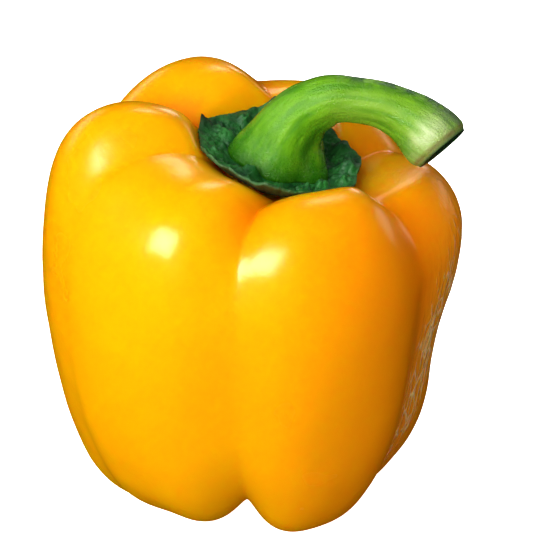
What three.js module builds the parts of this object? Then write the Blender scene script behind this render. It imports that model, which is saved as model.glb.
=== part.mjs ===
// A yellow block bell pepper as picked: the lobed fruit, the calyx lying in its crown, and the bent stem.
// Millimetres, +Z up. It stands on the flattened tips of its lobes at z = 0, with the middle of its box over
// the origin. The widest pair of lobes faces -Y, and the stem bends towards +X.
import * as THREE from 'three';
import { mergeVertices } from 'three/addons/utils/BufferGeometryUtils.js';

const { clamp, degToRad, euclideanModulo, lerp } = THREE.MathUtils;

// The fruit's core line, about which its lobes stand, in the object's frame.
const CORE = new THREE.Vector2(0.1, -0.445);

// Lobes, anticlockwise from above. az is the crest's direction from +X in degrees, reach its radius at the
// belt (the widest level), shoulder and shoulderRadius the top of the crest, foot and footRadius its lowest
// point. A foot below zero is pressed flat where it stands. A fuller lobe falls off later towards a groove.
const LOBES = [
  // az, reach, belt, shoulder, shoulderRadius, foot, footRadius, fullness
  [-1, 44.5, 61, 76.0, 29.3, -0.2, 16.0, 2.2], // right
  [60, 41.0, 58, 82.5, 25.0, -0.5, 17.0, 2.2], // back right
  [119, 43.0, 60, 89.0, 25.0, -0.5, 17.0, 2.2], // back left
  [184, 44.2, 58, 91.5, 28.2, 0.7, 25.8, 2.2], // left
  [234, 43.0, 55, 84.0, 24.0, -0.5, 14.5, 2.4], // front left
  [302, 42.5, 54, 81.6, 23.8, -0.5, 18.6, 3.4], // front
].map(([az, reach, belt, shoulder, shoulderRadius, foot, footRadius, fullness]) => (
  { az, reach, belt, shoulder, shoulderRadius, foot, footRadius, fullness }));

// The groove before each lobe: how far it cuts in at the belt, drops at the shoulder and lifts at the foot,
// how sharply it creases, from 0 for a soft valley to 1 for a fold, and how many degrees it drifts round on
// the way down to the feet.
const GROOVES = [
  { az: 333, cut: 3.4, drop: 3.8, lift: 0.5, crease: 0.4, drift: -2 },
  { az: 26, cut: 2.8, drop: 5.5, lift: 3.0, crease: 0.7, drift: 4 },
  { az: 91, cut: 2.8, drop: 3.0, lift: 3.0, crease: 0.7, drift: -3 },
  { az: 154, cut: 2.4, drop: 8.0, lift: 3.0, crease: 0.7, drift: 0 },
  { az: 207, cut: 0.3, drop: 2.4, lift: 0.0, crease: 0.2, drift: 0 },
  { az: 264.5, cut: 3.2, drop: 5.0, lift: 6.8, crease: 1.0, drift: 2.5 },
];
const GROOVE_PINCH = 2.5; // how far a full groove pulls in the shoulder and the foot
const FULL_CUT = 2.0; // the cut at which a groove counts as full

// The fruit's skin runs through five bands, each one unit of level high.
const NAVEL = -2; // underside: middle of the base to the feet
const FOOT = -1; // flank: feet to belt
const BELT = 0; // crown: belt to shoulders
const SHOULDER = 1; // bowl: shoulders down to the seat
const SEAT = 2; // seat: flat floor of the bowl, under the calyx
const CREASE_BY_LEVEL = [
  [NAVEL, 0.5], [FOOT, 0.8], [-0.5, 0.3], [BELT, 0.0], [0.5, 0.4], [SHOULDER, 1], [SEAT + 1, 1],
];
const NAVEL_HEIGHT = 9.0;
const SEAT_RADIUS = 13.0;
const SEAT_HEIGHT = 75.0;
const CROWN_TILT = degToRad(12); // the bowl and the calyx lie lower on the right
const CROWN_LEAN = 6.3; // how far the crown stands to the right of the core line
const LEAN_FROM = 0.35;
const LEAN_OVER = 1.3;
const CROWN_FULLNESS = 0.9; // under 1 makes the shoulders squarer than an ellipse
const BOWL_STEEPNESS = 1.5; // over 1 makes the bowl's side fall sooner than an ellipse
const WAIST = { az: 4, height: 38, depth: 4.0, spreadAz: 20, spreadHeight: 12 };
const BAND_ROWS = [7, 13, 9, 8, 2];
const FRUIT_COLUMNS = 84;

// The calyx: a dish with a cornered, upturned edge. Each corner has its direction in degrees, its radius, how
// far the edge bows in on the way to the next corner, and how far the edge stands above its usual height.
const CALYX_AT = new THREE.Vector3(6.3, 0, 76.5);
const CALYX_CORNERS = [
  { az: 8, radius: 15.9, sag: 1.0, rise: -1.0 },
  { az: 60, radius: 16.5, sag: 2.0, rise: -0.8 },
  { az: 100, radius: 18.0, sag: 2.0, rise: 0.0 },
  { az: 158, radius: 19.8, sag: 1.2, rise: -2.0 },
  { az: 205, radius: 19.5, sag: 0.9, rise: 0.0 },
  { az: 255, radius: 19.6, sag: 1.2, rise: 0.4 },
  { az: 319, radius: 18.0, sag: 1.4, rise: -0.4 },
];
const CORNER_ROUNDNESS = 1.6; // 1 for straight-sided corners, 2 for fully rounded ones
const FLOOR_TOP = 1.2;
const FLOOR_UNDER = -0.6;
const WALL_FROM = 0.68; // share of the radius at which the edge starts to turn up
const UNDER_WALL_FROM = 0.6;
const WALL_RISE = 3.4;
const CORNER_RISE = 0.8;
const EDGE_THICKNESS = 0.7;

// Puckers of the calyx round the stem's foot: direction in degrees, radius, height and spread.
const PUCKERS = [
  [161, 13.8, 2.2, 1.6],
  [198, 14.6, 1.0, 1.3],
  [232, 13.4, 2.5, 1.6],
  [262, 13.8, 1.5, 1.2],
  [283, 13.6, 1.7, 1.3],
  [305, 13.4, 2.2, 1.4],
  [330, 13.8, 1.4, 1.2],
  [355, 13.0, 2.3, 1.5],
  [30, 13.0, 1.6, 1.4],
  [65, 13.0, 1.9, 1.4],
  [100, 13.6, 1.8, 1.5],
  [130, 14.2, 1.6, 1.4],
];
const PUCKERS_FROM = 12.2; // radius of the flat floor that the stem's foot takes up
const PUCKERS_OVER = 1.4;
const PUCKERS_END = 0.85; // share of the edge radius from which they fade into the edge
const CALYX_COLUMNS = 72;
const CALYX_TOP_RINGS = 11;
const CALYX_UNDER_RINGS = 8;

// The stem's middle line from its foot on the calyx to its cut end, in the fruit's frame, with its radius.
const STEM = [
  { at: [5.9, 0.3, 78.3], radius: 9.7 },
  { at: [6.6, 0.3, 81.2], radius: 8.7 },
  { at: [7.9, 0.0, 85.4], radius: 7.0 },
  { at: [10.4, 0.0, 89.0], radius: 6.1 },
  { at: [13.2, -0.2, 91.2], radius: 5.5 },
  { at: [16.5, -0.5, 92.7], radius: 5.0 },
  { at: [20.3, -0.8, 92.8], radius: 4.7 },
  { at: [25.6, -1.3, 92.2], radius: 4.7 },
  { at: [29.6, -1.9, 90.7], radius: 5.0 },
  { at: [33.1, -2.8, 88.8], radius: 5.8 },
  { at: [36.2, -4.0, 86.4], radius: 6.6 },
  { at: [39.1, -5.2, 83.6], radius: 6.7 },
];
// Ribs of the stem: direction round the foot in degrees, height as a share of the foot's radius, and width.
const STEM_RIBS = [
  [36, 0.12, 20],
  [108, 0.12, 20],
  [182, 0.22, 24],
  [252, 0.08, 20],
  [297, -0.06, 10],
  [327, 0.22, 15],
];
const RIB_MEAN = 0.05; // what the ribs add on average, taken off so that the radius holds
const RIB_RISE = 0.13; // how far up the line the ribs of the foot fade out
const RIB_LEFT = 0.25; // the share of a rib's height that runs on to the cut end
const CUT_SLANT = 0.17; // the cut faces a little to the front
const CUT_OVER = 0.16; // the share of the line over which the slant comes in
const STEM_COLUMNS = 25;
const STEM_RINGS = 34;

// Clear space between neighbouring pieces.
const GAP = 0.35;
const SEAT_GAP = 0.6;
const SEAT_SOFTNESS = 1.2; // how gently the bowl gives way to the calyx
const SEAT_FREE_FROM = 1.05; // share of the calyx's radius beyond which the bowl rises freely
const SEAT_OPENING = 20.0; // how steeply it may rise there

const wrapDegrees = (angle) => euclideanModulo(angle + 180, 360) - 180;
const easeInOut = (t) => 0.5 - 0.5 * Math.cos(Math.PI * clamp(t, 0, 1));
const bump = (distance, spread) => Math.exp(-0.5 * (distance / spread) ** 2);

function interpolate(table, at) {
  const next = table.findIndex(([x]) => x >= at);
  if (next <= 0) return table[next === 0 ? 0 : table.length - 1][1];
  const [[x0, y0], [x1, y1]] = [table[next - 1], table[next]];
  return lerp(y0, y1, (at - x0) / (x1 - x0));
}

// What each groove adds to the mean of its two lobes.
const pinch = (groove) => -GROOVE_PINCH * Math.min(1, groove.cut / FULL_CUT);
const GROOVE_EFFECTS = {
  reach: (groove) => -groove.cut,
  belt: () => 0,
  shoulder: (groove) => -groove.drop,
  shoulderRadius: pinch,
  foot: (groove) => groove.lift,
  footRadius: pinch,
};

// The direction of a groove at a level.
const grooveAzimuth = (groove, level) => groove.az + groove.drift * easeInOut(-level);

// The lobe figures at a direction round the core: the crest's own on the crest, the groove's in the groove.
function lobeFigures(azimuth, level) {
  const count = LOBES.length;
  const index = LOBES.findIndex((_, i) => {
    const from = grooveAzimuth(GROOVES[i], level);
    const to = grooveAzimuth(GROOVES[(i + 1) % count], level);
    return euclideanModulo(azimuth - from, 360) <= euclideanModulo(to - from, 360);
  });
  const lobe = LOBES[index];
  const offset = wrapDegrees(azimuth - lobe.az);
  const after = offset > 0 ? 1 : 0;
  const groove = GROOVES[(index + after) % count];
  const neighbour = LOBES[(index + (after ? 1 : count - 1)) % count];
  const across = Math.abs(offset / wrapDegrees(grooveAzimuth(groove, level) - lobe.az));
  const crease = groove.crease * interpolate(CREASE_BY_LEVEL, level);
  const weight = Math.max(0, 1 - across ** lobe.fullness) ** (2 - crease);
  const figures = {};
  for (const [name, effect] of Object.entries(GROOVE_EFFECTS)) {
    const valley = (lobe[name] + neighbour[name]) / 2 + effect(groove);
    figures[name] = lerp(valley, lobe[name], weight);
  }
  return figures;
}

// The fruit's profile in one direction: its radius and height at a level.
function fruitProfile(f, level) {
  if (level < FOOT) {
    const out = level - NAVEL;
    return [f.footRadius * out, lerp(NAVEL_HEIGHT, f.foot, easeInOut(out))];
  }
  if (level < BELT) {
    const angle = level * Math.PI / 2;
    return [lerp(f.footRadius, f.reach, Math.cos(angle)), lerp(f.belt, f.foot, -Math.sin(angle))];
  }
  if (level < SHOULDER) {
    const angle = level * Math.PI / 2;
    const out = Math.abs(Math.cos(angle)) ** CROWN_FULLNESS;
    const up = Math.sin(angle) ** CROWN_FULLNESS;
    return [lerp(f.shoulderRadius, f.reach, out), lerp(f.belt, f.shoulder, up)];
  }
  if (level < SEAT) {
    const angle = (level - SHOULDER) * Math.PI / 2;
    const down = Math.cos(angle) ** BOWL_STEEPNESS;
    return [lerp(f.shoulderRadius, SEAT_RADIUS, Math.sin(angle)), lerp(SEAT_HEIGHT, f.shoulder, down)];
  }
  return [SEAT_RADIUS * (SEAT + 1 - level), SEAT_HEIGHT];
}

// The calyx's place on the fruit, as a frame of its own with its dish facing up.
const calyxFrame = new THREE.Matrix4().makeRotationY(CROWN_TILT).setPosition(CALYX_AT);
const toCalyx = calyxFrame.clone().invert();

// The radius of the calyx's edge in a direction, and how far it rises above the dish's floor.
function calyxEdge(azimuth) {
  const count = CALYX_CORNERS.length;
  for (let i = 0; i < count; i += 1) {
    const from = CALYX_CORNERS[i];
    const to = CALYX_CORNERS[(i + 1) % count];
    const along = euclideanModulo(azimuth - from.az, 360) / euclideanModulo(to.az - from.az, 360);
    if (along <= 1) {
      const bow = Math.max(0, 4 * along * (1 - along)) ** CORNER_ROUNDNESS;
      const corner = CORNER_RISE * Math.abs(2 * along - 1) ** 3;
      return {
        radius: lerp(from.radius, to.radius, along) - from.sag * bow,
        rise: WALL_RISE + lerp(from.rise, to.rise, along) + corner,
      };
    }
  }
  throw new Error('no calyx edge at this angle');
}

// How far the puckers raise the calyx at a place on its floor.
function puckerHeight(azimuth, radius) {
  const spot = new THREE.Vector2(radius, 0).rotateAround(new THREE.Vector2(), degToRad(azimuth));
  let height = 0;
  for (const [az, at, rise, spread] of PUCKERS) {
    const middle = new THREE.Vector2(at, 0).rotateAround(new THREE.Vector2(), degToRad(az));
    height += rise * bump(spot.distanceTo(middle), spread);
  }
  return height * easeInOut((radius - PUCKERS_FROM) / PUCKERS_OVER);
}

// Heights of the calyx's two skins in its own frame, at a share of the edge radius.
function calyxTop(azimuth, share, edge) {
  const wall = clamp((share - WALL_FROM) / (1 - WALL_FROM), 0, 1) ** 1.3;
  const fading = 1 - easeInOut((share - PUCKERS_END) / (1 - PUCKERS_END));
  return FLOOR_TOP + edge.rise * wall + puckerHeight(azimuth, edge.radius * share) * fading;
}

function calyxUnder(share, edge) {
  const wall = Math.max(0, (share - UNDER_WALL_FROM) / (1 - UNDER_WALL_FROM)) ** 1.4;
  return lerp(FLOOR_UNDER, FLOOR_TOP + edge.rise - EDGE_THICKNESS, wall);
}

// Keeps a point of the crown bowl below the calyx, by moving it along the calyx's own axis.
function belowCalyx(point) {
  point.applyMatrix4(toCalyx);
  const edge = calyxEdge(THREE.MathUtils.radToDeg(Math.atan2(point.y, point.x)));
  const share = Math.hypot(point.x, point.y) / edge.radius;
  const ceiling = calyxUnder(share, edge) - SEAT_GAP + SEAT_OPENING * Math.max(0, share - SEAT_FREE_FROM);
  point.z = (point.z + ceiling - Math.hypot(point.z - ceiling, SEAT_SOFTNESS)) / 2;
  return point.applyMatrix4(calyxFrame);
}

function fruitPoint(angle, level) {
  const azimuth = THREE.MathUtils.radToDeg(angle);
  let [radius, height] = fruitProfile(lobeFigures(azimuth, level), level);
  const inBowl = clamp(level - SHOULDER, 0, 1);
  height -= inBowl ** 2 * radius * Math.cos(angle) * Math.tan(CROWN_TILT);

  const waist = WAIST.depth * bump(wrapDegrees(azimuth - WAIST.az), WAIST.spreadAz)
    * bump(height - WAIST.height, WAIST.spreadHeight);
  radius -= waist * Math.cos(clamp(level, -1, 1) * Math.PI / 2);

  const lean = CROWN_LEAN * easeInOut((level - LEAN_FROM) / LEAN_OVER);
  const point = new THREE.Vector3(lean + radius * Math.cos(angle), radius * Math.sin(angle), height);
  if (level > SHOULDER) belowCalyx(point);
  point.z = Math.max(0, point.z);
  return point;
}

// A closed skin of rings, from ring 0 at its top pole to the last at its bottom pole, each anticlockwise.
function ringSkin(columns, rings, place) {
  const geometry = new THREE.SphereGeometry(1, columns, rings);
  const points = geometry.attributes.position;
  for (let i = 0; i < points.count; i += 1) {
    const ring = Math.floor(i / (columns + 1));
    const angle = 2 * Math.PI * (i % (columns + 1)) / columns;
    points.setXYZ(i, ...place(angle, ring).toArray());
  }
  geometry.deleteAttribute('normal');
  geometry.deleteAttribute('uv');
  const skin = mergeVertices(geometry, 1e-4);
  skin.computeVertexNormals();
  return skin;
}

function fruitGeometry() {
  const levels = [NAVEL];
  BAND_ROWS.forEach((rows, band) => {
    for (let row = 1; row <= rows; row += 1) levels.push(NAVEL + band + row / rows);
  });
  levels.reverse();
  return ringSkin(FRUIT_COLUMNS, levels.length - 1, (angle, ring) => fruitPoint(angle, levels[ring]));
}

function calyxGeometry() {
  const rings = CALYX_TOP_RINGS + 1 + CALYX_UNDER_RINGS;
  return ringSkin(CALYX_COLUMNS, rings, (angle, ring) => {
    const azimuth = THREE.MathUtils.radToDeg(angle);
    const edge = calyxEdge(azimuth);
    const onTop = ring <= CALYX_TOP_RINGS;
    const out = onTop ? ring / CALYX_TOP_RINGS : (rings - ring) / CALYX_UNDER_RINGS;
    const share = Math.sin(out * Math.PI / 2);
    const height = onTop ? calyxTop(azimuth, share, edge) : calyxUnder(share, edge);
    const radius = edge.radius * share;
    return new THREE.Vector3(radius * Math.cos(angle), radius * Math.sin(angle), height);
  });
}

// The share by which the ribs change the stem's radius, in a direction and at a share of its line.
function ribbing(azimuth, along) {
  let rib = -RIB_MEAN;
  for (const [az, height, width] of STEM_RIBS) rib += height * bump(wrapDegrees(azimuth - az), width);
  return rib * lerp(RIB_LEFT, 1, bump(along, RIB_RISE));
}

// The stem is a row of ribbed sections across its middle line, closed by its flat foot and its cut end.
function stemGeometry() {
  const stations = STEM.map(({ at }) => new THREE.Vector3(...at));
  const line = new THREE.CatmullRomCurve3(stations, false, 'catmullrom');
  const girth = new THREE.SplineCurve(STEM.map(({ radius }, i) => new THREE.Vector2(i, radius)));
  const ACROSS = new THREE.Vector3(0, 1, 0);
  return ringSkin(STEM_COLUMNS, STEM_RINGS + 2, (angle, ring) => {
    const along = clamp(1 - (ring - 1) / STEM_RINGS, 0, 1);
    const isPole = ring === 0 || ring === STEM_RINGS + 2;
    const tangent = line.getTangent(along);
    const back = tangent.clone().cross(ACROSS).normalize();
    const side = back.clone().cross(tangent);
    const form = 1 + ribbing(THREE.MathUtils.radToDeg(angle) + 90, along);
    const radius = isPole ? 0 : girth.getPoint(along).y * form;
    const slant = CUT_SLANT * radius * Math.cos(angle) * easeInOut(1 - (1 - along) / CUT_OVER);
    const point = line.getPoint(along)
      .addScaledVector(side, radius * Math.cos(angle))
      .addScaledVector(back, radius * Math.sin(angle))
      .addScaledVector(tangent, slant);
    if (along === 0) {
      point.applyMatrix4(toCalyx);
      point.z = FLOOR_TOP + GAP;
      point.applyMatrix4(calyxFrame);
    }
    return point;
  });
}

function namedMesh(name, geometry, color, roughness) {
  const mesh = new THREE.Mesh(geometry, new THREE.MeshStandardMaterial({ color, roughness, metalness: 0 }));
  mesh.name = name;
  return mesh;
}

const fruit = namedMesh('fruit', fruitGeometry(), 0xf7b500, 0.28);
const stem = namedMesh('stem', stemGeometry(), 0x6fae2e, 0.4);
const calyx = namedMesh('calyx', calyxGeometry(), 0x1f6b3a, 0.5);
calyx.rotation.y = CROWN_TILT;
calyx.position.copy(CALYX_AT);

const pepper = new THREE.Group();
pepper.position.set(-CORE.x, -CORE.y, 0);
pepper.add(fruit, calyx, stem);

export default pepper;
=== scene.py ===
# A yellow block bell pepper with its calyx and bent stem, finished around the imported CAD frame.
# Shapes are worked out in millimetres in the fruit's own frame, then set in metres in the CAD frame.
import math

import bpy
import numpy as np
from mathutils import Euler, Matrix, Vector, noise


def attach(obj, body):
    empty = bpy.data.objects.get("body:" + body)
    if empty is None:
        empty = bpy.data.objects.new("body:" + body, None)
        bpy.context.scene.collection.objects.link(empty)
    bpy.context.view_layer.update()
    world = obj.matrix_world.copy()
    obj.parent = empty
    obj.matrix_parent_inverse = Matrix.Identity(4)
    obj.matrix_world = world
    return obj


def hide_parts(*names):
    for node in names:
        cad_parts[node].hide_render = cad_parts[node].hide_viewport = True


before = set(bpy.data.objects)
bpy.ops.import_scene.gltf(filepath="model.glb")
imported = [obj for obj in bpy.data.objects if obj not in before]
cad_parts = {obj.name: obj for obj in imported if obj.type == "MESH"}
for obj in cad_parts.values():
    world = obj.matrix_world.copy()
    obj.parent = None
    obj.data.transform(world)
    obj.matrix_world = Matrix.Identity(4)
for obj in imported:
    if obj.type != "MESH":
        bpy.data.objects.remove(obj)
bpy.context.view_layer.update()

MM = 0.001
WELD = 0.000001  # metres
CORE = (-0.1, 0.445, 0.0)  # the core line's place in the CAD frame, in millimetres

# Camera: the photograph looks down on the pepper from the front.
VIEW_ELEVATION = math.radians(30)
VIEW_DISTANCE = 1.2  # metres
VIEW_FROM_CORE = (5.03, 0.05, 50.1)  # the point looked at, in millimetres from the foot of the core line
VIEW_AIM = MM * (Vector(CORE) + Vector(VIEW_FROM_CORE))
VIEW_WIDTH = 0.11614  # metres across the picture, at the point looked at
SENSOR = 36.0  # the camera's own sensor, in millimetres
EXPOSURE = 0.3
CONTRAST = 0.8  # a display gamma under 1 deepens the shaded oranges, as the photograph does

# Softboxes that face the pepper: the direction in degrees, az from +X anticlockwise and up from level, the
# distance and size in metres, the power in watts, and what each gives. Shade is the soft light with no
# reflection of itself, and shine is the reflection alone.
LIGHTS = [
    dict(name="key", az=-134, up=40, distance=0.9, size=(0.52, 0.38), power=10.8, gives="shine"),
    dict(name="soft_left", az=-125, up=28, distance=1.2, size=(1.2, 1.0), power=15.4, gives="shade"),
    dict(name="overhead", az=-70, up=72, distance=1.1, size=(0.8, 0.8), power=1.8, gives="shade"),
    dict(name="strip_right", az=42, up=9, distance=1.3, size=(0.8, 0.40), power=1.5, gives="shine"),
    dict(name="strip_low", az=75, up=13, distance=1.3, size=(0.22, 0.30), power=0.8, gives="shine"),
    dict(name="strip_left", az=130, up=12, distance=1.3, size=(0.9, 0.30), power=1.3, gives="shine"),
    dict(name="strip_back", az=80, up=42, distance=1.2, size=(0.30, 0.26), power=1.7, gives="shine"),
]
WORLD_COLOUR = (1.0, 0.93, 0.84, 1)
WORLD_STRENGTH = 0.42
STUDIO_FLOOR_SIZE = 6  # metres
STUDIO_FLOOR_COLOUR = (0.95, 0.95, 0.95, 1)
STUDIO_FLOOR_ROUGHNESS = 0.6
STUDIO_FLOOR_GLOW_COLOUR = (1, 1, 1, 1)
STUDIO_FLOOR_GLOW = 0.9

# Lobes, anticlockwise from above, as in the CAD source: the crest's direction in degrees, its reach at the
# belt, the belt's height, the shoulder's height and radius, the foot's height and radius, and its fullness.
LOBES = [
    dict(az=-1, reach=44.5, belt=61, shoulder=76.0, shoulder_r=29.3, foot=-0.2, foot_r=16.0, full=2.2),
    dict(az=60, reach=41.0, belt=58, shoulder=82.5, shoulder_r=25.0, foot=-0.5, foot_r=17.0, full=2.2),
    dict(az=119, reach=43.0, belt=60, shoulder=89.0, shoulder_r=25.0, foot=-0.5, foot_r=17.0, full=2.2),
    dict(az=184, reach=44.2, belt=58, shoulder=91.5, shoulder_r=28.2, foot=0.7, foot_r=25.8, full=2.2),
    dict(az=234, reach=43.0, belt=55, shoulder=84.0, shoulder_r=24.0, foot=-0.5, foot_r=14.5, full=2.4),
    dict(az=302, reach=42.5, belt=54, shoulder=81.6, shoulder_r=23.8, foot=-0.5, foot_r=18.6, full=3.4),
]
# The groove before each lobe: its direction in degrees, cut at the belt, drop at the shoulder, lift at the
# foot, crease from 0 to 1, and how many degrees it has drifted round at the feet.
GROOVES = [
    dict(az=333, cut=3.4, drop=3.8, lift=0.5, crease=0.4, drift=-2),
    dict(az=26, cut=2.8, drop=5.5, lift=3.0, crease=0.7, drift=4),
    dict(az=91, cut=2.8, drop=3.0, lift=3.0, crease=0.7, drift=-3),
    dict(az=154, cut=2.4, drop=8.0, lift=3.0, crease=0.7, drift=0),
    dict(az=207, cut=0.3, drop=2.4, lift=0.0, crease=0.2, drift=0),
    dict(az=264.5, cut=3.2, drop=5.0, lift=6.8, crease=1.0, drift=2.5),
]
GROOVE_PINCH = 2.5  # how much nearer the core a full groove runs at the shoulder and the foot
GROOVE_SOFTNESS = 2.0  # how round a groove's floor is, from which its crease takes away
FULL_CUT = 2.0  # the cut from which a groove is a full one
SEAM_SLACK = 1e-9  # lets the floor of a groove belong to the lobes on both its sides

# Levels of the skin: the navel, the feet, the belt, the shoulders and the seat, each one unit apart.
NAVEL, FOOT, BELT, SHOULDER, SEAT = -2, -1, 0, 1, 2
CREASE_LEVELS = [NAVEL, FOOT, -0.5, BELT, 0.5, SHOULDER, SEAT + 1]
CREASE_STRENGTH = [0.5, 0.8, 0.3, 0.0, 0.4, 1.0, 1.0]
NAVEL_HEIGHT = 9.0
SEAT_RADIUS = 13.0
SEAT_HEIGHT = 75.0
CROWN_TILT = math.radians(12)
CROWN_LEAN = 6.3  # how far the crown leans to the right
LEAN_FROM = 0.35  # the level where the lean begins
LEAN_OVER = 1.3  # the levels over which it comes in
CROWN_FULLNESS = 0.9  # under 1 squares the shoulders
BOWL_STEEPNESS = 1.5  # over 1 keeps the bowl's floor flatter
SEAT_SOFTNESS = 1.2  # how gently the bowl gives way to the calyx
SEAT_FREE_FROM = 1.05  # share of the calyx's radius beyond which the bowl rises freely
SEAT_OPENING = 20.0  # how steeply it may rise there
WAIST = dict(az=4, height=38, depth=4.0, spread_az=20, spread_height=12)
FRUIT_COLUMNS = 480
BAND_ROWS = [24, 50, 36, 36, 6]  # rows of faces between each level and the next
SEAT_GAP = 0.12  # between the bowl and the calyx

# The uneven skin. Each unevenness is smooth noise: its scale for each millimetre, its height in millimetres
# and, where there is one, the shift that picks another stretch of the noise.
SKIN_SWELLS = dict(scale=0.05, height=0.45)
SKIN_DIMPLES = dict(scale=0.17, height=0.10)
SKIN_FOLDS = dict(scale=(0.8, 0.8, 0.2), height=0.26, shift=9)
SKIN_INSET = 0.22  # keeps the uneven skin inside the CAD solid's box
EVEN_FEET = 12  # the height over which the unevenness comes in
EVEN_BOWL = 2.2  # the level in the bowl where it has died out
CRINKLES = dict(az=335.5, az_rise=0.36, from_height=18, spread_az=7, height=38, spread_height=21)
NAVEL_SCAR = dict(spread=1.6, below=30)

# Painted shade: the right side, which the light misses, is painted a deeper orange, and the crown stays
# paler.
PAINTED_RIGHT_SHADE = dict(az=332, spread_az=28, crown_level=0.35, crown_loss=0.9)
# Painted shade in the grooves: its width as a share of a lobe's half, the level where it begins, the
# levels over which it comes in, and its least strength anywhere, with what the painted shade of the
# right side adds to that.
GROOVE_SHADE = dict(width=0.22, level=0.25, over=0.75, lit_side=0.1, shaded_side=0.8)

# The calyx: a dish with corners and an upturned edge. Each corner: its direction in degrees, its radius, how
# far the edge bows in on the way to the next corner, and how far the edge stands above its usual height.
CALYX_CORNERS = [
    (8, 15.9, 1.0, -1.0),
    (60, 16.5, 2.0, -0.8),
    (100, 18.0, 2.0, 0.0),
    (158, 19.8, 1.2, -2.0),
    (205, 19.5, 0.9, 0.0),
    (255, 19.6, 1.2, 0.4),
    (319, 18.0, 1.4, -0.4),
]
# Puckers of the calyx round the stem's foot: direction in degrees, radius, height and spread.
CALYX_PUCKERS = [
    (161, 13.4, 2.2, 2.1),
    (198, 14.6, 1.0, 1.7),
    (232, 12.6, 2.5, 2.2),
    (262, 13.8, 1.5, 1.6),
    (283, 13.6, 1.7, 1.7),
    (305, 13.0, 2.2, 1.8),
    (330, 13.6, 1.4, 1.6),
    (355, 12.6, 2.3, 2.0),
    (30, 13.0, 1.6, 1.8),
    (65, 13.0, 1.9, 1.8),
    (100, 13.6, 1.8, 2.0),
    (130, 14.2, 1.6, 1.8),
]
PUCKER_HEIGHT = 1.2  # times the height of the solid's puckers
PUCKER_SPREAD = 0.7  # times their spread
CALYX_TIPS = (100, 158)  # directions of the dark, curled tips
TIP_SPREAD = 2.4  # degrees
TIP_RISE = 1.3
TIP_REACH = 0.07  # how far the dark of a tip reaches in, as a share of the radius
CALYX_AT = Vector((6.3, 0.0, 76.5))
DISH_TOP = 1.2  # the dish's floor from above
DISH_UNDER = -0.6  # and from below
WALL_FROM = 0.68  # the share of the radius where the dish's wall begins to rise
WALL_CURVE = 1.3
UNDER_WALL_FROM = 0.6
UNDER_WALL_CURVE = 1.4
WALL_RISE = 3.4
CORNER_RISE = 0.8
CORNER_SHARPNESS = 3
EDGE_ROUND = 1.6
EDGE_THICKNESS = 0.7
EDGE_PALE = 0.03  # how far the pale edge reaches in, as a share of the radius
CALYX_COLUMNS = 360
CALYX_TOP_RINGS = 56
CALYX_UNDER_RINGS = 26

# The calyx's unevenness. The first three follow the edge, on a circle of radius one.
EDGE_NOTCHES = dict(scale=5, height=0.5)
EDGE_TEETH = dict(scale=19, height=0.22)
EDGE_CURL = dict(scale=6, height=0.7, shift=3)
PUCKER_WANDER = dict(scale=0.5, height=0.7)
WALL_FOLDS = dict(scale=0.55, height=1.9, shift=7)
WALL_WRINKLES = dict(scale=1.5, height=0.45)
FOLDS_AT = 0.78  # share of the radius where the folds are highest
FOLDS_SPREAD = 0.12

# The stem's middle line in the fruit's frame, with its radius.
STEM_LINE = [
    (5.9, 0.3, 78.3, 9.7),
    (6.6, 0.3, 81.2, 8.7),
    (7.9, 0.0, 85.4, 7.0),
    (10.4, 0.0, 89.0, 6.1),
    (13.2, -0.2, 91.2, 5.5),
    (16.5, -0.5, 92.7, 5.0),
    (20.3, -0.8, 92.8, 4.7),
    (25.6, -1.3, 92.2, 4.7),
    (29.6, -1.9, 90.7, 5.0),
    (33.1, -2.8, 88.8, 5.8),
    (36.2, -4.0, 86.4, 6.6),
    (39.1, -5.2, 83.6, 6.7),
]
# Ribs of the stem: direction in degrees, height as a share of the radius at the foot, and width in degrees.
STEM_RIBS = [
    (36, 0.12, 20),
    (108, 0.12, 20),
    (182, 0.22, 24),
    (252, 0.08, 20),
    (297, -0.06, 10),
    (327, 0.22, 15),
]
RIB_MEAN = 0.05  # taken off all round, so that the ribs don't thicken the stem
RIB_RISE = 0.13  # how far up the line the ribs of the foot fade out
RIB_LEFT = 0.25  # the share of a rib's height that runs on to the cut end
STEM_COLUMNS = 180
STEM_RINGS = 230
STEM_SUNK = 0.4  # how far the stem's foot sinks into the floor of the calyx's dish
CUT_RINGS = 16
CUT_HOLLOW = 0.9
CUT_SLANT = 0.17  # the cut faces a little to the front
CUT_ROUND = 0.14  # the share of its radius that the cut's rim loses
CUT_ROUND_OVER = 0.016  # the share of the line over which it does
CUT_OVER = 0.16  # the share of the line over which the slant comes in
CUT_SWELL = 0.5  # how far the middle of the hollow swells back
STEM_LENGTH = 52.0

# The stem's unevenness, drawn out along its grain.
STEM_LUMPS = dict(scale=(0.5, 0.5, 0.12), height=0.16)
STEM_FIBRES = dict(scale=(2.2, 2.2, 0.25), height=0.07)
CUT_LUMPS = dict(scale=0.9, height=0.5, shift=40)
STEM_INSET = 0.08  # keeps the uneven stem inside the CAD solid's box
FOOT_EVENNESS = 0.5  # the share of its unevenness that the foot loses

# Marks on the stem: directions round it in degrees, and places along it as shares of its line.
TOPSIDE = dict(az=172, spread_az=18, wider=14, wider_from=0.8, starts=0.46, over=0.12)
# The front side, where the light falls: its paler streaks and the paler end are partly painted light.
LIT_FRONT = dict(az=262, spread_az=40, starts=0.3, over=0.3)
# Painted highlight: a whitish patch on the lit front near the cut end.
END_HIGHLIGHT = dict(az=250, spread_az=26, at=0.90, spread=0.04)
# Painted shade in the crease beside the stem's foot.
STEM_CREASE_SHADE = dict(az=303, spread_az=7, at=0.16, spread=0.10)
CUT_RIM = dict(at=0.022, spread=0.009)
CUT_FACE = dict(spread=0.006, edge=0.8)


def ease(t):
    return 0.5 - 0.5 * np.cos(np.pi * np.clip(t, 0, 1))


def bump(distance, spread):
    return np.exp(-0.5 * (distance / spread) ** 2)


def wrap(degrees):
    return (degrees + 180) % 360 - 180


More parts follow.
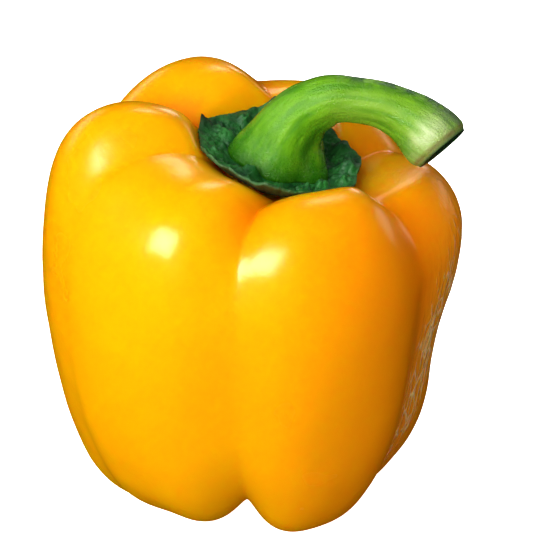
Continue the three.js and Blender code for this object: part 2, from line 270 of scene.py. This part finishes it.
def facing(azimuth, mark):
    """How much a direction faces a mark's own, from 0 to 1."""
    return bump(wrap(azimuth - mark["az"]), mark["spread_az"])


def uneven(points, scale, height, shift=0):
    """Smooth noise of about that height, one value for each point."""
    return height * np.array([noise.noise(point) for point in points * scale + shift])


def deselect():
    bpy.ops.object.select_all(action="DESELECT")


# Camera, floor and lights come first.
def make_camera():
    back = Vector((0, -math.cos(VIEW_ELEVATION), math.sin(VIEW_ELEVATION)))
    bpy.ops.object.camera_add(location=VIEW_AIM + VIEW_DISTANCE * back)
    camera = bpy.context.object
    camera.name = "camera"
    camera.rotation_euler = back.to_track_quat("Z", "Y").to_euler()
    camera.data.sensor_width = SENSOR
    camera.data.lens = SENSOR * VIEW_DISTANCE / VIEW_WIDTH
    bpy.context.scene.camera = camera


def make_softbox(name, az, up, distance, size, power, gives):
    turn, lift = math.radians(az), math.radians(up)
    out = Vector((math.cos(turn) * math.cos(lift), math.sin(turn) * math.cos(lift), math.sin(lift)))
    bpy.ops.object.light_add(type="AREA", location=VIEW_AIM + distance * out)
    light = bpy.context.object
    light.name = name
    light.rotation_euler = out.to_track_quat("Z", "Y").to_euler()
    light.data.shape = "RECTANGLE"
    light.data.size, light.data.size_y = size
    light.data.energy = power
    light.visible_glossy = gives != "shade"
    light.visible_diffuse = gives != "shine"


def make_world():
    world = bpy.data.worlds.new("studio")
    bpy.context.scene.world = world
    world.use_nodes = True
    background = world.node_tree.nodes["Background"]
    background.inputs["Color"].default_value = WORLD_COLOUR
    background.inputs["Strength"].default_value = WORLD_STRENGTH
    world.cycles_visibility.glossy = False


def make_floor():
    """A pale, weakly glowing floor that the camera sees and the pepper doesn't."""
    bpy.ops.mesh.primitive_plane_add(size=STUDIO_FLOOR_SIZE, location=(0, 0, 0))
    floor = bpy.context.object
    floor.name = "floor"
    floor.visible_diffuse = False
    floor.visible_glossy = False
    material = bpy.data.materials.new("pale_floor")
    material.use_nodes = True
    shader = material.node_tree.nodes["Principled BSDF"]
    shader.inputs["Base Color"].default_value = STUDIO_FLOOR_COLOUR
    shader.inputs["Roughness"].default_value = STUDIO_FLOOR_ROUGHNESS
    shader.inputs["Emission Color"].default_value = STUDIO_FLOOR_GLOW_COLOUR
    shader.inputs["Emission Strength"].default_value = STUDIO_FLOOR_GLOW
    floor.data.materials.append(material)


def make_studio():
    for light in LIGHTS:
        make_softbox(**light)
    make_world()
    make_floor()
    view = bpy.context.scene.view_settings
    view.view_transform = "Standard"
    view.exposure = EXPOSURE
    view.gamma = CONTRAST


# The fruit's form.
def groove_depth(groove):
    """How full a groove is, from 0 to 1."""
    return min(1.0, groove["cut"] / FULL_CUT)


def lobe_figures(azimuth, level):
    """The lobe figures round the core: the crest's own on a crest, the groove's in a groove."""
    crease_here = np.interp(level, CREASE_LEVELS, CREASE_STRENGTH)
    effects = dict(
        reach=lambda g: -g["cut"],
        belt=lambda g: 0.0,
        shoulder=lambda g: -g["drop"],
        shoulder_r=lambda g: -GROOVE_PINCH * groove_depth(g),
        foot=lambda g: g["lift"],
        foot_r=lambda g: -GROOVE_PINCH * groove_depth(g),
    )
    count = len(LOBES)
    figures = {name: np.zeros_like(azimuth) for name in effects}
    figures["valley"] = np.zeros_like(azimuth)
    for i, lobe in enumerate(LOBES):
        after = (i + 1) % count
        for groove, neighbour, sign in ((GROOVES[i], LOBES[i - 1], -1), (GROOVES[after], LOBES[after], 1)):
            groove_az = groove["az"] + groove["drift"] * ease(-level)
            across = sign * wrap(azimuth - lobe["az"]) / np.abs(wrap(groove_az - lobe["az"]))
            here = (across >= 0) & (across <= 1 + SEAM_SLACK)
            across = np.clip(across, 0, 1)
            softness = GROOVE_SOFTNESS - groove["crease"] * crease_here
            weight = (1 - across ** lobe["full"]) ** softness
            for name, effect in effects.items():
                low = 0.5 * (lobe[name] + neighbour[name]) + effect(groove)
                figures[name] = np.where(here, low + (lobe[name] - low) * weight, figures[name])
            # Painted groove shade, strongest on the floor of a full groove.
            shade = groove_depth(groove) * bump(1 - across, GROOVE_SHADE["width"])
            figures["valley"] = np.where(here, shade, figures["valley"])
    return figures


def fruit_profile(f, level):
    """The radius and height of the skin at a level, from the lobe figures f."""
    out = np.clip(level - NAVEL, 0, 1)
    turn = np.clip(level, FOOT, SHOULDER) * np.pi / 2
    side, rise = np.abs(np.cos(turn)), np.abs(np.sin(turn))
    dip = np.clip(level - SHOULDER, 0, 1) * np.pi / 2
    bands = [level < FOOT, level < BELT, level < SHOULDER, level < SEAT]
    radius = np.select(
        bands,
        [
            f["foot_r"] * out,
            f["foot_r"] + (f["reach"] - f["foot_r"]) * side,
            f["shoulder_r"] + (f["reach"] - f["shoulder_r"]) * side**CROWN_FULLNESS,
            f["shoulder_r"] + (SEAT_RADIUS - f["shoulder_r"]) * np.sin(dip),
        ],
        SEAT_RADIUS * (SEAT + 1 - level),
    )
    height = np.select(
        bands,
        [
            NAVEL_HEIGHT + (f["foot"] - NAVEL_HEIGHT) * ease(out),
            f["belt"] + (f["foot"] - f["belt"]) * rise,
            f["belt"] + (f["shoulder"] - f["belt"]) * rise**CROWN_FULLNESS,
            SEAT_HEIGHT + (f["shoulder"] - SEAT_HEIGHT) * np.cos(dip) ** BOWL_STEEPNESS,
        ],
        SEAT_HEIGHT,
    )
    return radius, height


def calyx_edge(azimuth):
    """The calyx's edge in a direction: its radius, and how far it rises above the dish's floor."""
    radius = np.zeros_like(azimuth)
    rise = np.zeros_like(azimuth)
    for i, (start, start_r, sag, start_rise) in enumerate(CALYX_CORNERS):
        end, end_r, _, end_rise = CALYX_CORNERS[(i + 1) % len(CALYX_CORNERS)]
        along = ((azimuth - start) % 360) / ((end - start) % 360)
        here = along <= 1
        along = np.clip(along, 0, 1)
        bow = (4 * along * (1 - along)) ** EDGE_ROUND
        corner = np.abs(2 * along - 1) ** CORNER_SHARPNESS
        radius = np.where(here, start_r + (end_r - start_r) * along - sag * bow, radius)
        rise = np.where(here, start_rise + (end_rise - start_rise) * along + CORNER_RISE * corner, rise)
    return radius, WALL_RISE + rise


def calyx_under(share, rise):
    """The height of the dish's underside at a share of its radius."""
    wall = np.clip((share - UNDER_WALL_FROM) / (1 - UNDER_WALL_FROM), 0, None) ** UNDER_WALL_CURVE
    edge = DISH_TOP + rise - EDGE_THICKNESS
    return DISH_UNDER + (edge - DISH_UNDER) * wall


CALYX_TURN = np.array(Euler((0, CROWN_TILT, 0)).to_matrix())


def to_calyx(points):
    return (points - np.array(CALYX_AT)) @ CALYX_TURN


def from_calyx(points):
    return points @ CALYX_TURN.T + np.array(CALYX_AT)


def fruit_points(azimuth, level):
    """Points of the plain skin, before its unevenness, and the strength of the painted shade that each gets
    from its groove.
    """
    turn = np.radians(azimuth)
    figures = lobe_figures(azimuth, level)
    radius, height = fruit_profile(figures, level)
    in_bowl = np.clip(level - SHOULDER, 0, 1)
    height = height - in_bowl**2 * radius * np.cos(turn) * math.tan(CROWN_TILT)
    waist = WAIST["depth"] * facing(azimuth, WAIST)
    waist = waist * bump(height - WAIST["height"], WAIST["spread_height"])
    radius = radius - waist * np.cos(np.clip(level, FOOT, SHOULDER) * np.pi / 2)
    lean = CROWN_LEAN * ease((level - LEAN_FROM) / LEAN_OVER)
    points = np.stack([lean + radius * np.cos(turn), radius * np.sin(turn), height], -1)

    # The bowl keeps under the calyx's underside, with a smooth change from one to the other.
    local = to_calyx(points)
    edge, rise = calyx_edge(np.degrees(np.arctan2(local[..., 1], local[..., 0])))
    share = np.hypot(local[..., 0], local[..., 1]) / edge
    ceiling = calyx_under(share, rise) - SEAT_GAP + SEAT_OPENING * np.clip(share - SEAT_FREE_FROM, 0, None)
    under = 0.5 * (local[..., 2] + ceiling - np.hypot(local[..., 2] - ceiling, SEAT_SOFTNESS))
    local[..., 2] = np.where(level > SHOULDER, under, local[..., 2])
    points = from_calyx(local)
    points[..., 2] = np.maximum(points[..., 2], 0)
    return points, figures["valley"]


# Every grown skin starts as a flat grid of columns and rings, which is then rolled up into the grown form.
def ring_skin(name, columns, rings, place):
    """A closed skin of that many columns and rings.

    place(azimuth, ring) gives points in the fruit's frame, top pole first, and a dict of values to keep.
    """
    deselect()
    bpy.ops.mesh.primitive_grid_add(x_subdivisions=columns, y_subdivisions=rings, size=2)
    piece = bpy.context.object
    piece.name = name
    mesh = piece.data
    mesh.name = name
    grid = np.empty(len(mesh.vertices) * 3)
    mesh.vertices.foreach_get("co", grid)
    grid = grid.reshape(-1, 3)
    column = np.rint((grid[:, 0] + 1) / 2 * columns)
    ring = np.rint((1 - grid[:, 1]) / 2 * rings).astype(int)
    points, values = place(column % columns * 360 / columns, ring)
    points = (points + np.array(CORE)) * MM
    mesh.vertices.foreach_set("co", points.astype(np.float32).ravel())
    for label, value in values.items():
        kind = "FLOAT_VECTOR" if value.ndim == 2 else "FLOAT"
        layer = mesh.attributes.new(label, kind, "POINT")
        layer.data.foreach_set("vector" if value.ndim == 2 else "value", value.astype(np.float32).ravel())
    mesh.update()
    bpy.ops.object.mode_set(mode="EDIT")
    bpy.ops.mesh.select_all(action="SELECT")
    bpy.ops.mesh.remove_doubles(threshold=WELD)
    bpy.ops.object.mode_set(mode="OBJECT")
    bpy.ops.object.shade_smooth()
    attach(piece, "root")
    return piece


def make_fruit():
    levels = [NAVEL]
    for band, rows in enumerate(BAND_ROWS):
        levels += [NAVEL + band + (row + 1) / rows for row in range(rows)]
    levels = np.array(levels[::-1])

    def place(azimuth, ring):
        level = levels[ring]
        points, valley = fruit_points(azimuth, level)
        ridge_az = CRINKLES["az"] + CRINKLES["az_rise"] * (points[:, 2] - CRINKLES["from_height"])
        crinkle = bump(wrap(azimuth - ridge_az), CRINKLES["spread_az"])
        crinkle = crinkle * bump(points[:, 2] - CRINKLES["height"], CRINKLES["spread_height"])
        scar = bump(np.hypot(points[:, 0], points[:, 1]), NAVEL_SCAR["spread"])
        scar = scar * (points[:, 2] < NAVEL_SCAR["below"])
        out = np.stack([np.cos(np.radians(azimuth)), np.sin(np.radians(azimuth))], -1)
        swell = uneven(points, **SKIN_SWELLS) + uneven(points, **SKIN_DIMPLES) - SKIN_INSET
        folds = uneven(points, **SKIN_FOLDS) * crinkle
        swell = (swell + folds) * ease(points[:, 2] / EVEN_FEET) * ease(EVEN_BOWL - level)
        points[:, :2] += swell[:, None] * out
        # Painted shade: the right side is painted a deeper orange, and there the grooves' painted shade
        # reaches further down.
        right_shade = facing(azimuth, PAINTED_RIGHT_SHADE)
        least = GROOVE_SHADE["lit_side"] + GROOVE_SHADE["shaded_side"] * right_shade
        valley = valley * np.maximum(ease((level - GROOVE_SHADE["level"]) / GROOVE_SHADE["over"]), least)
        right_shade = right_shade * (1 - PAINTED_RIGHT_SHADE["crown_loss"] * ease(level - PAINTED_RIGHT_SHADE["crown_level"]))
        return points, {"valley": valley, "crinkle": crinkle, "scar": scar, "right_shade": right_shade}

    fruit = ring_skin("fruit_skin", FRUIT_COLUMNS, len(levels) - 1, place)
    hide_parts("fruit")
    return fruit


def make_calyx():
    rings = CALYX_TOP_RINGS + 1 + CALYX_UNDER_RINGS

    def place(azimuth, ring):
        turn = np.radians(azimuth)
        edge, rise = calyx_edge(azimuth)
        circle = np.stack([np.cos(turn), np.sin(turn), 0 * turn], -1)
        edge = edge - np.abs(uneven(circle, **EDGE_NOTCHES)) + uneven(circle, **EDGE_TEETH)
        tip = sum(bump(wrap(azimuth - az), TIP_SPREAD) for az in CALYX_TIPS)
        rise = rise + uneven(circle, **EDGE_CURL) + TIP_RISE * tip
        on_top = ring <= CALYX_TOP_RINGS
        out = np.where(on_top, ring / CALYX_TOP_RINGS, (rings - ring) / CALYX_UNDER_RINGS)
        share = np.sin(out * np.pi / 2)
        wall = np.clip((share - WALL_FROM) / (1 - WALL_FROM), 0, 1) ** WALL_CURVE
        top = DISH_TOP + rise * wall
        radius = edge * share
        spot = np.stack([radius * np.cos(turn), radius * np.sin(turn), 0 * turn], -1)
        wander = uneven(spot, **PUCKER_WANDER)
        for az, at, height, spread in CALYX_PUCKERS:
            middle = (at * math.cos(math.radians(az)), at * math.sin(math.radians(az)))
            apart = np.hypot(spot[:, 0] - middle[0], spot[:, 1] - middle[1]) + wander
            top = top + PUCKER_HEIGHT * height * bump(np.clip(apart, 0, None), spread * PUCKER_SPREAD)
        folds = np.abs(uneven(spot, **WALL_FOLDS)) + uneven(spot, **WALL_WRINKLES)
        top = top + folds * bump(share - FOLDS_AT, FOLDS_SPREAD)
        height = np.where(on_top, top, calyx_under(share, rise))
        local = np.stack([radius * np.cos(turn), radius * np.sin(turn), height], -1)
        rim = np.where(on_top, bump(1 - share, EDGE_PALE), 1.0)
        tip = np.clip(tip, 0, 1) * bump(1 - share, TIP_REACH)
        return from_calyx(local), {"rim": rim, "under": np.where(on_top, 0.0, 1.0), "tip": tip}

    calyx = ring_skin("calyx_dish", CALYX_COLUMNS, rings, place)
    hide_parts("calyx")
    return calyx


def curve_through(points, at):
    """Places and slopes on a smooth curve through points, at shares of its length by point number."""
    points = np.array(points)
    last = len(points) - 1
    span = np.minimum((at * last).astype(int), last - 1)
    t = (at * last - span)[:, None]
    padded = np.vstack([2 * points[0] - points[1], points, 2 * points[-1] - points[-2]])
    before, start, end, after = (padded[span + k] for k in range(4))
    plain = end - before
    square = 2 * before - 5 * start + 4 * end - after
    cube = 3 * start - before - 3 * end + after
    place = 0.5 * (2 * start + plain * t + square * t**2 + cube * t**3)
    slope = 0.5 * (plain + 2 * square * t + 3 * cube * t**2)
    return place, slope


def stem_marks(azimuth, along, share):
    """Where the stem's marks lie, each from 0 to 1; the crease is painted shade, and the lit front and the
    patch near the end are painted light.
    """
    widening = ease((along - TOPSIDE["wider_from"]) / TOPSIDE["over"])
    topside = bump(wrap(azimuth - TOPSIDE["az"]), TOPSIDE["spread_az"] + TOPSIDE["wider"] * widening)
    face = bump(1 - along, CUT_FACE["spread"]) * np.where(share < 1, 1, CUT_FACE["edge"])
    return {
        "cut": np.clip(face, 0, 1),
        "along": along,
        "topside": topside * ease((along - TOPSIDE["starts"]) / TOPSIDE["over"]),
        "end_highlight": facing(azimuth, END_HIGHLIGHT) * bump(along - END_HIGHLIGHT["at"], END_HIGHLIGHT["spread"]),
        "rim": bump(1 - along - CUT_RIM["at"], CUT_RIM["spread"]),
        "crease": facing(azimuth, STEM_CREASE_SHADE) * bump(along - STEM_CREASE_SHADE["at"], STEM_CREASE_SHADE["spread"]),
        "front": facing(azimuth, LIT_FRONT) * ease((along - LIT_FRONT["starts"]) / LIT_FRONT["over"]),
    }


def make_stem():
    rings = CUT_RINGS + STEM_RINGS + 1

    def place(azimuth, ring):
        share = np.clip(ring / CUT_RINGS, 0, 1)
        along = np.clip(1 - (ring - CUT_RINGS) / STEM_RINGS, 0, 1)
        line, slope = curve_through(STEM_LINE, along)
        tangent = slope[:, :3] / np.linalg.norm(slope[:, :3], axis=1, keepdims=True)
        back = np.cross(tangent, np.array([0, 1.0, 0]))
        back /= np.linalg.norm(back, axis=1, keepdims=True)
        side = np.cross(back, tangent)
        turn = np.radians(azimuth - 90)
        foot = bump(along, RIB_RISE)
        rib = sum(height * bump(wrap(azimuth - az), width) for az, height, width in STEM_RIBS) - RIB_MEAN
        rounding = CUT_ROUND * bump(1 - along, CUT_ROUND_OVER)
        form = 1 + rib * (RIB_LEFT + (1 - RIB_LEFT) * foot) - rounding
        radius = line[:, 3] * form * share * (ring < rings)
        across, over = radius * np.cos(turn), radius * np.sin(turn)
        grain = np.stack([across, over, along * STEM_LENGTH], -1)
        rough = uneven(grain, **STEM_LUMPS) + uneven(grain, **STEM_FIBRES) - STEM_INSET
        outward = np.cos(turn)[:, None] * side + np.sin(turn)[:, None] * back
        points = line[:, :3] + across[:, None] * side + over[:, None] * back
        points += (rough * share * (1 - foot * FOOT_EVENNESS))[:, None] * outward
        face = (1 - share**2) * CUT_SWELL + uneven(grain, **CUT_LUMPS) * (1 - share**4)
        hollow = np.where(along == 1, face - CUT_HOLLOW * (1 - share**3), 0)
        slant = CUT_SLANT * across * ease(1 - (1 - along) / CUT_OVER)
        points += (slant + hollow)[:, None] * tangent
        local = to_calyx(points)
        local[:, 2] = np.where(along == 0, DISH_TOP - STEM_SUNK, local[:, 2])
        return from_calyx(local), {"grain": grain * MM, **stem_marks(azimuth, along, share)}

    stem = ring_skin("stem_skin", STEM_COLUMNS, rings, place)
    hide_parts("stem")
    return stem


# Finishes.
NET_WAVE_SCALE = 0.7  # how coarse the bends of a net's lines are beside its cells
NET_WAVE = 1.2  # how far they bend, in cells


class Finish:
    """A node material whose nodes are added one by one and linked as they are made.

    Scales are cells for each metre and distances are metres.
    """

    def __init__(self, name):
        self.material = bpy.data.materials.new(name)
        self.material.use_nodes = True
        self.tree = self.material.node_tree
        self.shader = self.tree.nodes["Principled BSDF"]

    def add(self, kind, inputs=None, **settings):
        made = self.tree.nodes.new(kind)
        for name, value in settings.items():
            setattr(made, name, value)
        for name, value in (inputs or {}).items():
            self.feed(made.inputs[name], value)
        return made

    def feed(self, socket, value):
        if isinstance(value, bpy.types.NodeSocket):
            self.tree.links.new(value, socket)
        else:
            socket.default_value = value

    def place(self, stretch=(1, 1, 1)):
        coordinates = self.add("ShaderNodeTexCoord").outputs["Object"]
        return self.add("ShaderNodeMapping", {"Vector": coordinates, "Scale": stretch}).outputs["Vector"]

    def value(self, label):
        return self.add("ShaderNodeAttribute", attribute_name=label).outputs["Fac"]

    def noise(self, vector, scale, detail=2.0, roughness=0.5):
        inputs = {"Vector": vector, "Scale": scale, "Detail": detail, "Roughness": roughness}
        return self.add("ShaderNodeTexNoise", inputs).outputs["Fac"]

    def net(self, vector, scale):
        """The distance to the nearest line of an uneven net."""
        waves = {"Vector": vector, "Scale": scale * NET_WAVE_SCALE, "Detail": 2.0}
        wavy = self.add("ShaderNodeTexNoise", waves)
        bent = self.add("ShaderNodeVectorMath", operation="MULTIPLY_ADD")
        self.feed(bent.inputs[0], wavy.outputs["Color"])
        self.feed(bent.inputs[1], (NET_WAVE / scale,) * 3)
        self.feed(bent.inputs[2], vector)
        inputs = {"Vector": bent.outputs["Vector"], "Scale": scale}
        return self.add("ShaderNodeTexVoronoi", inputs, feature="DISTANCE_TO_EDGE").outputs["Distance"]

    def spread(self, value, given, wanted=(0.0, 1.0)):
        """The value, with one range of it stretched or squeezed to another."""
        inputs = {"Value": value, "From Min": given[0], "From Max": given[1]}
        inputs.update({"To Min": wanted[0], "To Max": wanted[1]})
        return self.add("ShaderNodeMapRange", inputs).outputs["Result"]

    def math(self, operation, a, b):
        made = self.add("ShaderNodeMath", operation=operation)
        self.feed(made.inputs[0], a)
        self.feed(made.inputs[1], b)
        return made.outputs["Value"]

    def times(self, a, b):
        return self.math("MULTIPLY", a, b)

    def mix(self, factor, a, b):
        made = self.add("ShaderNodeMix", data_type="RGBA")
        self.feed(made.inputs["Factor"], factor)
        self.feed(made.inputs["A"], a)
        self.feed(made.inputs["B"], b)
        return made.outputs["Result"]

    def relief(self, height, distance, normal=None):
        made = self.add("ShaderNodeBump", {"Height": height, "Distance": distance, "Strength": 1.0})
        if normal is not None:
            self.feed(made.inputs["Normal"], normal)
        return made.outputs["Normal"]


# Of these, the colours of the grooves and of the right side are painted shade, and the pale colours of the
# crinkled skin are a painted sheen and painted glints.
SKIN_COLOURS = dict(
    yellow=(1.0, 0.49, 0.0, 1),
    cloudy=(1.0, 0.455, 0.0, 1),
    shaded_side=(0.88, 0.335, 0.0, 1),
    groove=(0.90, 0.28, 0.0, 1),
    scar=(0.16, 0.07, 0.02, 1),
    painted_sheen=(1.0, 0.50, 0.09, 1),
    painted_glint=(1.0, 0.66, 0.34, 1),
)
# How strong the painted sheen of the crinkled skin is, how much roughness it loses, and what makes up the
# chance of a painted glint line.
PAINTED_SHEEN_STRENGTH = 0.35
CRINKLE_SHEEN = 0.08  # how much roughness the crinkled skin loses
GLINTS_FROM_WRINKLES = 0.6
GLINTS_FROM_CRINKLE = 0.4


def skin_finish():
    finish = Finish("waxy_yellow_skin")
    shader = finish.shader
    place = finish.place()
    cloud = finish.noise(place, scale=38, detail=3)
    base = finish.mix(finish.spread(cloud, (0.35, 0.7)), SKIN_COLOURS["yellow"], SKIN_COLOURS["cloudy"])
    # Painted shade: the right side, which the light misses, is painted a deeper orange.
    base = finish.mix(finish.value("right_shade"), base, SKIN_COLOURS["shaded_side"])
    # Painted shade in the grooves, a deeper orange towards their floors.
    groove = finish.spread(finish.value("valley"), (0.1, 1.0), (0.0, 0.55))
    base = finish.mix(groove, base, SKIN_COLOURS["groove"])
    base = finish.mix(finish.value("scar"), base, SKIN_COLOURS["scar"])

    # Painted sheen and painted glint lines, only where the skin is crinkled, in place of a light's
    # reflection in its wrinkles.
    wrinkles = finish.noise(finish.place(stretch=(1, 1, 0.2)), scale=800, detail=3, roughness=0.6)
    crinkle = finish.value("crinkle")
    net = finish.net(finish.place(stretch=(1, 1, 0.3)), scale=520)
    glint_chance = finish.times(wrinkles, GLINTS_FROM_WRINKLES)
    glint_chance = finish.math("ADD", glint_chance, finish.times(crinkle, GLINTS_FROM_CRINKLE))
    lines = finish.times(finish.spread(net, (0.02, 0.14), (1.0, 0.0)), finish.spread(glint_chance, (0.46, 0.62)))
    lines = finish.times(lines, finish.spread(crinkle, (0.05, 0.4)))
    base = finish.mix(finish.times(crinkle, PAINTED_SHEEN_STRENGTH), base, SKIN_COLOURS["painted_sheen"])
    base = finish.mix(lines, base, SKIN_COLOURS["painted_glint"])
    finish.feed(shader.inputs["Base Color"], base)

    roughness = finish.spread(cloud, (0.3, 0.7), (0.22, 0.28))
    roughness = finish.math("SUBTRACT", roughness, finish.times(crinkle, CRINKLE_SHEEN))
    finish.feed(shader.inputs["Roughness"], roughness)
    shader.inputs["Subsurface Weight"].default_value = 0.75
    shader.inputs["Subsurface Radius"].default_value = (1.0, 0.25, 0.02)
    shader.inputs["Subsurface Scale"].default_value = 0.012
    shader.inputs["IOR"].default_value = 1.38

    normal = finish.relief(finish.times(wrinkles, crinkle), distance=0.0010)
    normal = finish.relief(lines, distance=0.0003, normal=normal)
    fine = finish.noise(place, scale=900, detail=2)
    normal = finish.relief(fine, distance=0.00003, normal=normal)
    finish.feed(shader.inputs["Normal"], normal)
    return finish.material


CALYX_COLOURS = dict(
    dark=(0.006, 0.09, 0.022, 1),
    light=(0.035, 0.26, 0.045, 1),
    under=(0.045, 0.05, 0.014, 1),
    edge=(0.08, 0.18, 0.06, 1),
    tip=(0.015, 0.02, 0.008, 1),
)


def calyx_finish():
    finish = Finish("puckered_green_calyx")
    shader = finish.shader
    place = finish.place()
    patches = finish.noise(place, scale=260, detail=4)
    base = finish.mix(finish.spread(patches, (0.35, 0.7)), CALYX_COLOURS["dark"], CALYX_COLOURS["light"])
    base = finish.mix(finish.value("under"), base, CALYX_COLOURS["under"])
    edge = finish.spread(finish.value("rim"), (0.5, 1.0), (0.0, 0.4))
    base = finish.mix(edge, base, CALYX_COLOURS["edge"])
    base = finish.mix(finish.value("tip"), base, CALYX_COLOURS["tip"])
    finish.feed(shader.inputs["Base Color"], base)
    finish.feed(shader.inputs["Roughness"], finish.spread(patches, (0.3, 0.7), (0.50, 0.65)))
    shader.inputs["Subsurface Weight"].default_value = 0.1
    shader.inputs["Subsurface Scale"].default_value = 0.002
    blisters = finish.noise(place, scale=420, detail=4)
    pores = finish.noise(place, scale=2200, detail=3)
    normal = finish.relief(blisters, distance=0.0008)
    normal = finish.relief(pores, distance=0.00012, normal=normal)
    finish.feed(shader.inputs["Normal"], normal)
    return finish.material


# Of these, the crease colour is painted shade, the front and end colours are partly painted light, and the
# whitish patch near the cut is a painted highlight.
STEM_COLOURS = dict(
    streak_dark=(0.08, 0.28, 0.006, 1),
    streak_light=(0.22, 0.47, 0.018, 1),
    foot=(0.03, 0.19, 0.004, 1),
    crease=(0.025, 0.07, 0.006, 1),
    front=(0.28, 0.47, 0.06, 1),
    topside=(0.025, 0.12, 0.02, 1),
    end=(0.46, 0.56, 0.26, 1),
    end_highlight=(0.78, 0.84, 0.62, 1),
    rim=(0.30, 0.22, 0.09, 1),
    cut=(0.02, 0.07, 0.03, 1),
)
STEM_GRAIN_STRETCH = (1, 1, 0.10)
CREASE_SHADE_STRENGTH = 0.55


def stem_finish():
    finish = Finish("streaked_green_stem")
    shader = finish.shader
    colours = STEM_COLOURS
    grain = finish.add("ShaderNodeAttribute", attribute_name="grain").outputs["Vector"]
    stretched = {"Vector": grain, "Scale": STEM_GRAIN_STRETCH}
    long_grain = finish.add("ShaderNodeMapping", stretched).outputs["Vector"]
    streaks = finish.noise(long_grain, scale=520, detail=4)
    patches = finish.noise(grain, scale=330, detail=4)
    along = finish.value("along")
    front = finish.value("front")

    base = finish.mix(finish.spread(streaks, (0.36, 0.66)), colours["streak_dark"], colours["streak_light"])
    base = finish.mix(finish.spread(along, (0.02, 0.20), (0.8, 0.0)), base, colours["foot"])
    # Painted shade in the crease beside the stem's foot.
    base = finish.mix(finish.times(finish.value("crease"), CREASE_SHADE_STRENGTH), base, colours["crease"])
    # Painted light: paler streaks on the front side, where the light falls.
    painted_lit_streaks = finish.times(front, finish.spread(streaks, (0.3, 0.6), (0.3, 0.9)))
    base = finish.mix(painted_lit_streaks, base, colours["front"])
    dark = finish.times(finish.value("topside"), finish.spread(patches, (0.42, 0.52), (0.1, 0.95)))
    base = finish.mix(dark, base, colours["topside"])
    # Paler end: partly its own yellow-green, partly a painted highlight that is strongest on the lit front.
    end_tint_and_sheen = finish.spread(along, (0.80, 0.98), (0.0, 0.75))
    end_tint_and_sheen = finish.times(end_tint_and_sheen, finish.spread(patches, (0.3, 0.6), (0.5, 1.0)))
    end_tint_and_sheen = finish.times(end_tint_and_sheen, finish.spread(front, (0.1, 0.8), (0.3, 1.0)))
    base = finish.mix(end_tint_and_sheen, base, colours["end"])
    # Painted highlight: a whitish patch on the lit front near the cut end.
    end_highlight = finish.times(finish.value("end_highlight"), finish.spread(streaks, (0.35, 0.6), (0.0, 0.55)))
    base = finish.mix(end_highlight, base, colours["end_highlight"])
    base = finish.mix(finish.times(finish.value("rim"), patches), base, colours["rim"])
    base = finish.mix(finish.value("cut"), base, colours["cut"])
    finish.feed(shader.inputs["Base Color"], base)

    finish.feed(shader.inputs["Roughness"], finish.spread(patches, (0.35, 0.65), (0.18, 0.34)))
    shader.inputs["Subsurface Weight"].default_value = 0.25
    shader.inputs["IOR"].default_value = 1.40
    shader.inputs["Subsurface Radius"].default_value = (0.5, 1.0, 0.15)
    shader.inputs["Subsurface Scale"].default_value = 0.003
    ridges = finish.noise(long_grain, scale=1100, detail=3)
    pores = finish.noise(grain, scale=2600, detail=3, roughness=0.6)
    normal = finish.relief(ridges, distance=0.00014)
    normal = finish.relief(pores, distance=0.00022, normal=normal)
    finish.feed(shader.inputs["Normal"], normal)
    return finish.material


make_camera()
make_studio()
make_fruit().data.materials.append(skin_finish())
make_calyx().data.materials.append(calyx_finish())
make_stem().data.materials.append(stem_finish())
